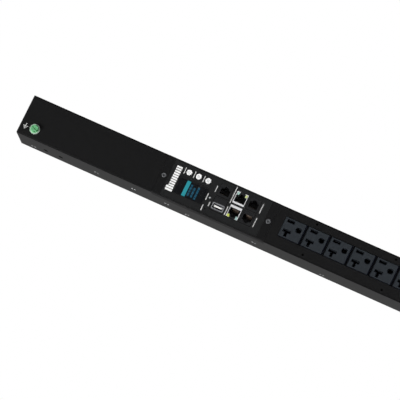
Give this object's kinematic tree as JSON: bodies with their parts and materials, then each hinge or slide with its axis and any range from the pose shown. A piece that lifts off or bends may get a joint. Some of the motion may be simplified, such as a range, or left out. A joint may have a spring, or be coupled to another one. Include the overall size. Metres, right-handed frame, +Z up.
{
  "type": "rack power distribution unit",
  "caption": "Slim upright bar of mains outlets for a rack, with a control panel of display, buttons and data jacks, an earth screw and a cord gland.",
  "frame": {"origin": "middle of the flat back face", "axes": "+Z up along the bar to the end with the earth screw, -Y out of the front face, +X to the right as seen from the front"},
  "size_m": [0.0508, 0.0608, 0.8339],
  "materials": {
    "black_steel": "fine textured powder coat",
    "bezel_plastic": "fine spark-eroded moulding",
    "overlay_film": "printed polyester film",
    "display_glass": "clear hard coated",
    "display_face": "lit liquid crystal panel",
    "button_white": "smooth moulded",
    "light_pipe": "clear polished",
    "jack_shield": "tinned sheet",
    "jack_black": "moulded",
    "contact_gold": "gold flash",
    "jack_light": "tinted clear",
    "tongue_white": "moulded",
    "board_green": "solder mask",
    "zinc_steel": "zinc plated",
    "earth_green": "green passivated",
    "outlet_plastic": "moulded",
    "carrier_black": "moulded",
    "screw_black": "black oxide",
    "bar_copper": "bright copper",
    "insulator_film": "polycarbonate film",
    "nylon_white": "moulded nylon",
    "gland_nylon": "moulded nylon",
    "seal_rubber": "smooth"
  },
  "bodies": {
    "chassis": {"back_plate": "black_steel", "back_strip_left": "black_steel", "back_strip_right": "black_steel", "bezel_screws": "screw_black", "board_standoffs": "nylon_white", "board_tray": "zinc_steel", "bottom_end_cap": "black_steel", "control_overlay": "overlay_film", "controller_bezel": "bezel_plastic", "controller_board": "board_green", "current_sensor": "carrier_black", "display_panel": "display_face", "display_window": "display_glass", "earth_bus_bar": "bar_copper", "earth_screw": "earth_green", "earth_washer": "zinc_steel", "front_channel": "black_steel", "gland_body": "gland_nylon", "gland_cap_nut": "gland_nylon", "gland_locknut": "gland_nylon", "gland_seal": "seal_rubber", "insulator_sheet": "insulator_film", "jack_contacts": "contact_gold", "live_bus_bar": "bar_copper", "lower_outlet_carrier": "carrier_black", "mounting_buttons": "zinc_steel", "network_jack_left": "jack_black", "network_jack_right": "jack_black", "network_lights": "jack_light", "network_shield_left": "jack_shield", "network_shield_right": "jack_shield", "neutral_bus_bar": "bar_copper", "outlet_01": "outlet_plastic", "outlet_02": "outlet_plastic", "outlet_03": "outlet_plastic", "outlet_04": "outlet_plastic", "outlet_05": "outlet_plastic", "outlet_06": "outlet_plastic", "outlet_07": "outlet_plastic", "outlet_08": "outlet_plastic", "outlet_09": "outlet_plastic", "outlet_10": "outlet_plastic", "outlet_11": "outlet_plastic", "outlet_12": "outlet_plastic", "power_supply_board": "board_green", "press_nuts": "zinc_steel", "sensor_jack_left": "jack_black", "sensor_jack_right": "jack_black", "serial_jack": "jack_black", "status_light": "light_pipe", "terminal_block": "carrier_black", "top_end_cap": "black_steel", "upper_outlet_carrier": "carrier_black", "usb_port": "jack_shield", "usb_surround": "jack_black", "usb_tongue": "tongue_white"},
    "upper_button_key": {"upper_button": "button_white"},
    "middle_button_key": {"middle_button": "button_white"},
    "lower_button_key": {"lower_button": "button_white"}
  },
  "joints": [
    {"name": "upper_button_press", "type": "slide", "parent": "chassis", "child": "upper_button_key", "axis": [0, 1, 0], "range_m": [0, 0.0005], "stiffness_N_per_m": 1500, "springref_m": -0.0003},
    {"name": "middle_button_press", "type": "slide", "parent": "chassis", "child": "middle_button_key", "axis": [0, 1, 0], "range_m": [0, 0.0005], "stiffness_N_per_m": 1500, "springref_m": -0.0003},
    {"name": "lower_button_press", "type": "slide", "parent": "chassis", "child": "lower_button_key", "axis": [0, 1, 0], "range_m": [0, 0.0005], "stiffness_N_per_m": 1500, "springref_m": -0.0003}
  ]
}
